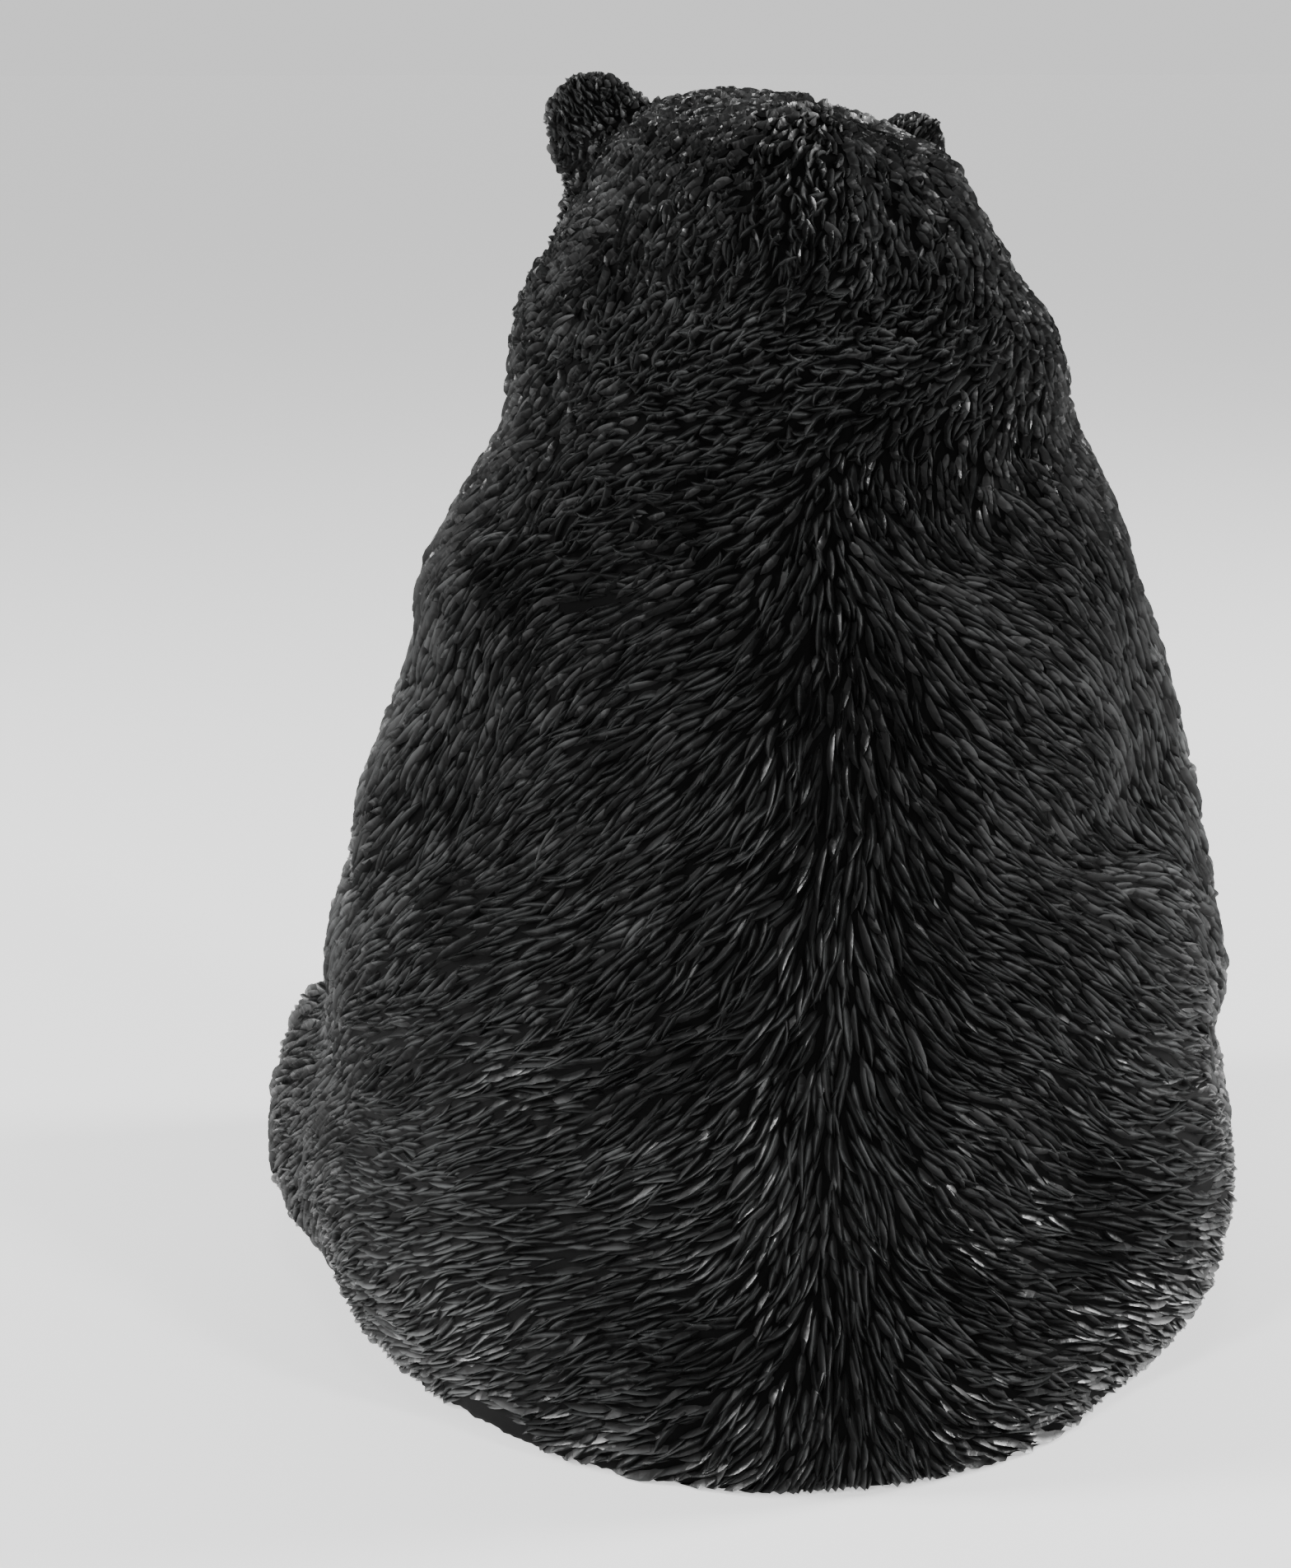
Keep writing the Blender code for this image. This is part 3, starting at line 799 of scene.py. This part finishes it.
# %% [markdown]
# The coat is divided by region, so that no piece gets too heavy to handle, and so that a finer or
# shorter coat can be tried in one place without touching the rest.

# %% The regions of the coat


def regions(at):
    """The name of the region that each place, given in hundredths, belongs to."""
    x, y, z = at.T
    name = np.full(len(at), "fur_back", dtype="U24")
    name[(z < 52) & (y > -6)] = "fur_rump_left"
    name[(z < 52) & (y > -6) & (x < 0)] = "fur_rump_right"
    name[(y <= -6) & (z < 70)] = "fur_front_left"
    name[(y <= -6) & (z < 70) & (x < 0)] = "fur_front_right"
    name[z >= 72] = "fur_head_left"
    name[(z >= 72) & (x < -1)] = "fur_head_right"
    return name


region = regions(in_figure(roots))
coat = []
for name in sorted(set(region)):
    here = region == name
    coat.append(strands(str(name), roots[here], lengths[here], widths[here]))

# %% [markdown]
# ## The bare skin and the claws
#
# The eyes, the nose, the lips, the pads and the claws are the casting's smooth parts. The carver
# rubbed them down before the mould was made, so the same paint dries glossier on them. Each is a small
# swept or swollen form set into the undercoat, at the place where the solid has its plainer one.

# %% Gloss black enamel on the rubbed parts


def gloss_enamel():
    """Gloss black enamel: the same black with a wet shine, as on eyes and claws."""
    material, surface = new_material("gloss black enamel")
    place = add_node(material, "ShaderNodeNewGeometry").outputs["Position"]
    fine = add_node(material, "ShaderNodeTexNoise", Vector=place, Scale=300.0, Detail=3.0).outputs["Fac"]
    rough = add_node(material, "ShaderNodeMapRange", Value=fine, To_Min=0.1, To_Max=0.24).outputs[0]
    paint = add_node(
        material, "ShaderNodeBsdfPrincipled", Base_Color=linear("#0d0c0d"), Roughness=rough, IOR=1.5)
    material.node_tree.links.new(paint.outputs[0], surface)
    return material


def pebbled_enamel():
    """Satin enamel over skin that was stippled with a point: fine pebbles 1.3 mm across, with painted
    shade in the hollows between them and a painted grey on their tops.
    """
    material, surface = new_material("pebbled black enamel with painted pebble shade")
    place = add_node(material, "ShaderNodeNewGeometry").outputs["Position"]
    pebble = add_node(material, "ShaderNodeTexVoronoi", Vector=place, Scale=770.0).outputs["Distance"]
    pebble_height_and_shade = add_node(material, "ShaderNodeMapRange", Value=pebble, To_Min=1.0, To_Max=0.0).outputs[0]
    # Painted shade in the hollows between the pebbles, and a painted light grey on their tops
    paint = add_node(
        material, "ShaderNodeMix", {"data_type": "RGBA"},
        i0=pebble_height_and_shade, i6=linear("#080808"), i7=linear("#1d1c1d")).outputs[2]
    bump = add_node(material, "ShaderNodeBump", Strength=0.6, Distance=0.0005, Height=pebble_height_and_shade).outputs[0]
    skin_paint = add_node(
        material, "ShaderNodeBsdfPrincipled", Base_Color=paint, Roughness=0.46, IOR=1.45,
        Specular_IOR_Level=0.4, Normal=bump)
    material.node_tree.links.new(skin_paint.outputs[0], surface)
    return material


GLOSS = gloss_enamel()
PEBBLED = pebbled_enamel()
print("paints:", GLOSS.name, "and", PEBBLED.name)

# %% [markdown]
# Three helpers make the smooth parts. One turns a form into a piece, one sweeps a ring along a path, and
# one bends a path.

# %% Helpers for the smooth parts


def add_piece(name, form, material):
    """Makes a smooth-shaded piece of a bmesh."""
    bmesh.ops.recalc_face_normals(form, faces=form.faces)
    mesh = bpy.data.meshes.new(name)
    form.to_mesh(mesh)
    form.free()
    mesh.polygons.foreach_set("use_smooth", np.ones(len(mesh.polygons), bool))
    mesh.materials.append(material)
    piece = bpy.data.objects.new(name, mesh)
    bpy.context.scene.collection.objects.link(piece)
    print(name, sum(len(p.vertices) - 2 for p in mesh.polygons), "triangles")
    return piece


def sweep(form, path, radii, sides=12, flat=1.0):
    """Sweeps a ring along a path in metres, with a radius at each point, and closes both ends."""
    rings = []
    for index, (point, radius) in enumerate(zip(path, radii)):
        ahead = (path[min(index + 1, len(path) - 1)] - path[max(index - 1, 0)]).normalized()
        frame_of = ahead.to_track_quat("Z", "Y").to_matrix()
        ring = []
        for k in range(sides):
            angle = 2 * math.pi * k / sides
            away = Vector((radius * math.cos(angle), flat * radius * math.sin(angle), 0))
            ring.append(form.verts.new(point + frame_of @ away))
        rings.append(ring)
    for low, high in zip(rings, rings[1:]):
        for k in range(sides):
            after = (k + 1) % sides
            form.faces.new((low[k], low[after], high[after], high[k]))
    form.faces.new(rings[0][::-1])
    form.faces.new(rings[-1])


def arc(start, middle, end, count):
    """Points along a quadratic curve that is pulled towards its middle point."""
    points = []
    for index in range(count):
        t = index / (count - 1)
        points.append(start * (1 - t) ** 2 + middle * (2 * t * (1 - t)) + end * t ** 2)
    return points


# %% [markdown]
# ### Claws
#
# Twenty hooked claws, five to a paw. Each is a ring swept along a short arc, thick and slightly flat at
# the root and closing to a blunt point. The five toes fan out over the belly on the forepaws, and stand
# in a bow along the top of the sole on the hind feet.

# %% Make the claws
CLAW_LENGTH = 0.024
CLAW_RADIUS = 0.0042


def fore_toe(side, toe):
    """The middle of a toe on a forepaw, in hundredths. They fan out inwards and down over the belly."""
    fan = math.radians(-8 + 24 * (toe - 1))
    reach = 6.4 - 0.35 * (toe - 2) ** 2
    return sided(PAW, side) + Vector((
        -side * reach * math.cos(fan), -2.2, -reach * math.sin(fan)))


def hind_toe(side, toe):
    """The middle of a toe on a hind foot, in hundredths, along the top edge of the sole."""
    across = toe - 2
    lean = math.radians(12) * side
    return sided(SOLE, side) + Vector((
        across * 3.15 * math.cos(lean), -2.2 + across * 3.15 * math.sin(lean), 10.4 - 0.6 * across ** 2))


def claw(form, root, ahead, curl):
    """One claw from its root in hundredths, first straight ahead and then curling."""
    reach = CLAW_LENGTH / HUNDREDTH
    middle = root + ahead.normalized() * reach * 0.5
    tip = middle + curl.normalized() * reach * 0.5
    path = arc(in_world(root), in_world(middle), in_world(tip), 9)
    radii = [CLAW_RADIUS * 1.04 * (1 - 0.8 * (k / 8) ** 1.6) for k in range(9)]
    sweep(form, path, radii, 14, 0.85)


form = bmesh.new()
for side in SIDES:
    for toe in range(5):
        fore = fore_toe(side, toe)
        out = (fore - sided(PAW, side)).normalized()
        claw_root = fore + out * 1.2 + Vector((0, -0.8, 0))
        claw(form, claw_root, out + Vector((0, -0.5, 0)), out + Vector((0, 0.6, -0.3)))
        claw_root = hind_toe(side, toe) + Vector((0, -0.6, 1.4))
        claw(form, claw_root, Vector((0, -0.9, 0.5)), Vector((0, -1, -0.5)))
claws = add_piece("claws", form, GLOSS)

# %% [markdown]
# ### Eyes and eyelids
#
# The eyes are plain glossy balls. A rolled lid round each one gives it a gaze, because a bare ball
# looks startled. The lid is a swept ring, wider than it is high.

# %% Make the eyes
EYE_RADIUS = 0.0075
LID_RADIUS = 0.0017

form = bmesh.new()
for side in SIDES:
    where = Matrix.Translation(in_world(held() @ sided(EYE, side)))
    bmesh.ops.create_icosphere(form, subdivisions=4, radius=EYE_RADIUS, matrix=where)
eyes = add_piece("eyes", form, GLOSS)

form = bmesh.new()
for side in SIDES:
    look = Vector((0.42 * side, -1, 0.1)).normalized()
    about = look.to_track_quat("Z", "Y").to_matrix().to_4x4()
    centre = Vector(sided(EYE, side)) * HUNDREDTH + look * EYE_RADIUS * 0.42
    path = []
    for k in range(25):
        angle = 2 * math.pi * k / 24
        path.append(Vector((1.06 * math.cos(angle), 0.8 * math.sin(angle), 0)) * EYE_RADIUS)
    placed = [head_frame() @ Matrix.Translation(centre) @ about @ p for p in path]
    sweep(form, placed, [LID_RADIUS] * len(placed), 10)
eyelids = add_piece("eyelids", form, PEBBLED)

# %% [markdown]
# ### Nose, lips and pads
#
# The nose is a broad pebbled pad with two nostrils pressed into it. Below it a short cleft runs down to
# the lips, which are two soft rolls round the front of the muzzle. The soles carry one large pad and
# five toe pads. All of them are swollen balls whose points are then pushed by simple rules.

# %% Make the nose and the lips
NOSE_WIDTH = 0.036
NOSTRIL = (0.0095, -0.0088, -0.0015)
NOSTRIL_REACH = 0.0054
NOSTRIL_DEPTH = 0.0085
CLEFT_WIDTH = 0.0016
CLEFT_DEPTH = 0.0016
# The pad sits a little back in the muzzle
NOSE_SEAT = Vector(NOSE) + Vector((0, 1.1, -0.1))


def ball(radii, matrix, segments=48, rings=32):
    """A fine ellipsoid with its radii in metres, as a bmesh of its own and its matrix."""
    made = bmesh.new()
    bmesh.ops.create_uvsphere(made, u_segments=segments, v_segments=rings, radius=1)
    bmesh.ops.transform(made, matrix=Matrix.Diagonal((*radii, 1)), verts=made.verts)
    for vertex in made.verts:
        vertex.co = matrix @ vertex.co
    return made


def poured(form, other):
    """Adds one bmesh to another and frees it."""
    mesh = bpy.data.meshes.new("poured")
    other.to_mesh(mesh)
    other.free()
    form.from_mesh(mesh)
    bpy.data.meshes.remove(mesh)


form = ball((NOSE_WIDTH * 0.52, NOSE_WIDTH * 0.35, NOSE_WIDTH * 0.37), Matrix())
for vertex in form.verts:
    point = vertex.co
    # Flatter on top and narrower below
    point.x *= 1 + 0.16 * point.z / (NOSE_WIDTH * 0.38)
    for s in SIDES:
        away = point - Vector((NOSTRIL[0] * s, NOSTRIL[1], NOSTRIL[2]))
        away.z *= 1.5
        pressed = max(0, 1 - (away.length / NOSTRIL_REACH) ** 2) ** 2
        point.y += NOSTRIL_DEPTH * pressed
        point.z += 0.001 * pressed
    cleft = math.exp(-(point.x / CLEFT_WIDTH) ** 2) * (point.y < 0)
    point.y += CLEFT_DEPTH * cleft * max(0, 1 - point.z / 0.008)
seated = head_frame() @ Matrix.Translation(NOSE_SEAT * HUNDREDTH)
bmesh.ops.transform(form, matrix=seated, verts=form.verts)
nose = add_piece("nose", form, PEBBLED)


def laid(places, lift):
    """Points in the head's own hundredths, laid on the undercoat and raised by a little, in metres."""
    world = np.array([head_frame() @ (Vector(p) * HUNDREDTH) for p in places])
    under = ground.under(world)
    normal = ground.normal[under]
    down = ((world - ground.at[under]) * normal).sum(axis=1)[:, None]
    return [Vector(p) for p in world - normal * (down - lift)]


LIP_LINE = ((7.4, -19.5, 78.6), (7, -22.5, 77.2), (5.6, -26, 75.8), (3, -28.8, 74.9), (0, -29.8, 74.8))
form = bmesh.new()
line_out = list(LIP_LINE) + [(-x, y, z) for x, y, z in LIP_LINE[-2::-1]]
for drop, thick in ((0.4, 0.0016), (-0.45, 0.0015)):
    path = laid([(x, y, z + drop) for x, y, z in line_out], 0.0004)
    radii = [thick * (0.45 + 0.55 * math.sin(math.pi * k / (len(path) - 1))) for k in range(len(path))]
    sweep(form, path, radii, 12)
lips = add_piece("lips", form, PEBBLED)

# %% [markdown]
# Each hind foot shows its sole to the front: one long pad, with a small one under every toe.

# %% Make the pads
SOLE_PAD = tuple(v * HUNDREDTH for v in (5.5, 2.25, 6.5))
TOE_PAD = tuple(v * HUNDREDTH for v in (1.4, 1.1, 1.7))
CREASE = 0.0005
form = bmesh.new()
for side in SIDES:
    lean = turn(z=12 * side)
    pad = in_world(sided(SOLE, side) + Vector((0.8 * side, -3.6, -3)))
    poured(form, ball(SOLE_PAD, Matrix.Translation(pad) @ lean))
    for toe in range(5):
        at_toe = in_world(hind_toe(side, toe) + Vector((0, -1.9, -1.0)))
        poured(form, ball(TOE_PAD, Matrix.Translation(at_toe) @ lean, 24, 16))
for vertex in form.verts:
    # Creases across the pads, some 7 mm apart
    vertex.co.y += CREASE * math.sin(vertex.co.z * 900 + 3 * math.sin(vertex.co.x * 160))
pads = add_piece("pads", form, PEBBLED)

# %% [markdown]
# ## Floor and light
#
# A black glossy thing shows little of its own colour and mostly what it mirrors. So the studio is dim
# above and behind the camera, where the bear's back would mirror it, and bright in front. Two tall
# narrow softboxes at the sides put the short bright lines on the ridges of the flanks, and three small
# lamps behind and above add a few sparks. The floor is matt white, and glows a little so that it stays
# pale although the room is dim.

# %% Floor and lights


def pale_floor():
    """A matt white studio floor, lit a little from within."""
    material, surface = new_material("matt white floor")
    white = linear("#f4f4f4")
    paint = add_node(
        material, "ShaderNodeBsdfPrincipled", Base_Color=white, Roughness=0.9, IOR=1.3,
        Emission_Color=white, Emission_Strength=0.8)
    material.node_tree.links.new(paint.outputs[0], surface)
    return material


form = bmesh.new()
bmesh.ops.create_grid(form, x_segments=1, y_segments=1, size=60)
floor = add_piece("floor", form, pale_floor())
floor.location.z = -0.0005


def softbox(name, place, aim, size, power):
    """A soft light with its width and height in metres."""
    data = bpy.data.lights.new(name, "AREA")
    data.shape = "RECTANGLE"
    data.size, data.size_y = size
    data.energy = power
    lamp = bpy.data.objects.new(name, data)
    lamp.location = place
    lamp.rotation_euler = (Vector(aim) - Vector(place)).to_track_quat("-Z", "Y").to_euler()
    bpy.context.scene.collection.objects.link(lamp)
    print(name, "light,", power, "W")


softbox("left", (2.3, 0.05, 0.9), (0, 0, 0.2), (0.5, 1.3), 86)
softbox("right", (-2.3, -0.2, 0.85), (0, 0, 0.15), (0.5, 1.3), 98)
softbox("left spark", (1.4, 1.8, 1.6), (0, 0, 0.3), (0.35, 0.35), 30)
softbox("right spark", (-1.5, 1.7, 1.9), (0, 0, 0.3), (0.35, 0.35), 30)
softbox("top spark", (0.2, 1.2, 2.6), (0, 0, 0.3), (0.4, 0.4), 8)

# %% [markdown]
# The room itself is the world. It is brightest low in front of the bear, and fades towards the top and
# the back. What the camera sees of it above the floor is one even pale grey, like a far white wall.

# %% The room
PALE_WALL = 0.95
# The way to the brightest part of the room, low in front of the bear
BRIGHTEST = (0, -0.8, -0.6)
world = bpy.data.worlds.new("studio")
world.use_nodes = True
shade = world.node_tree.nodes["Background"]
shade.inputs["Color"].default_value = linear("#ffffff")
way = add_node(world, "ShaderNodeTexCoord").outputs["Generated"]
ahead = add_node(world, "ShaderNodeVectorMath", {"operation": "DOT_PRODUCT"}, i0=way, i1=BRIGHTEST)
glow = add_node(
    world, "ShaderNodeMapRange", Value=ahead.outputs["Value"], From_Min=-0.6, From_Max=0.8,
    To_Min=0.05, To_Max=1.0).outputs[0]
seen = add_node(world, "ShaderNodeLightPath").outputs["Is Camera Ray"]
strength = add_node(
    world, "ShaderNodeMix", {"data_type": "FLOAT"}, i0=seen, i2=glow, i3=PALE_WALL).outputs[0]
world.node_tree.links.new(strength, shade.inputs["Strength"])
bpy.context.scene.world = world
print("room", world.name)

# %% [markdown]
# ## Binding
#
# Every piece rides on the solid's one body and stands in for the solid, so none of the plain casting
# shows.

# %% Bind the pieces to the solid
pieces = [skin, claws, eyes, eyelids, nose, lips, pads] + coat
for piece in pieces:
    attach(piece, "root")
    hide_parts("bear")

bpy.context.view_layer.update()
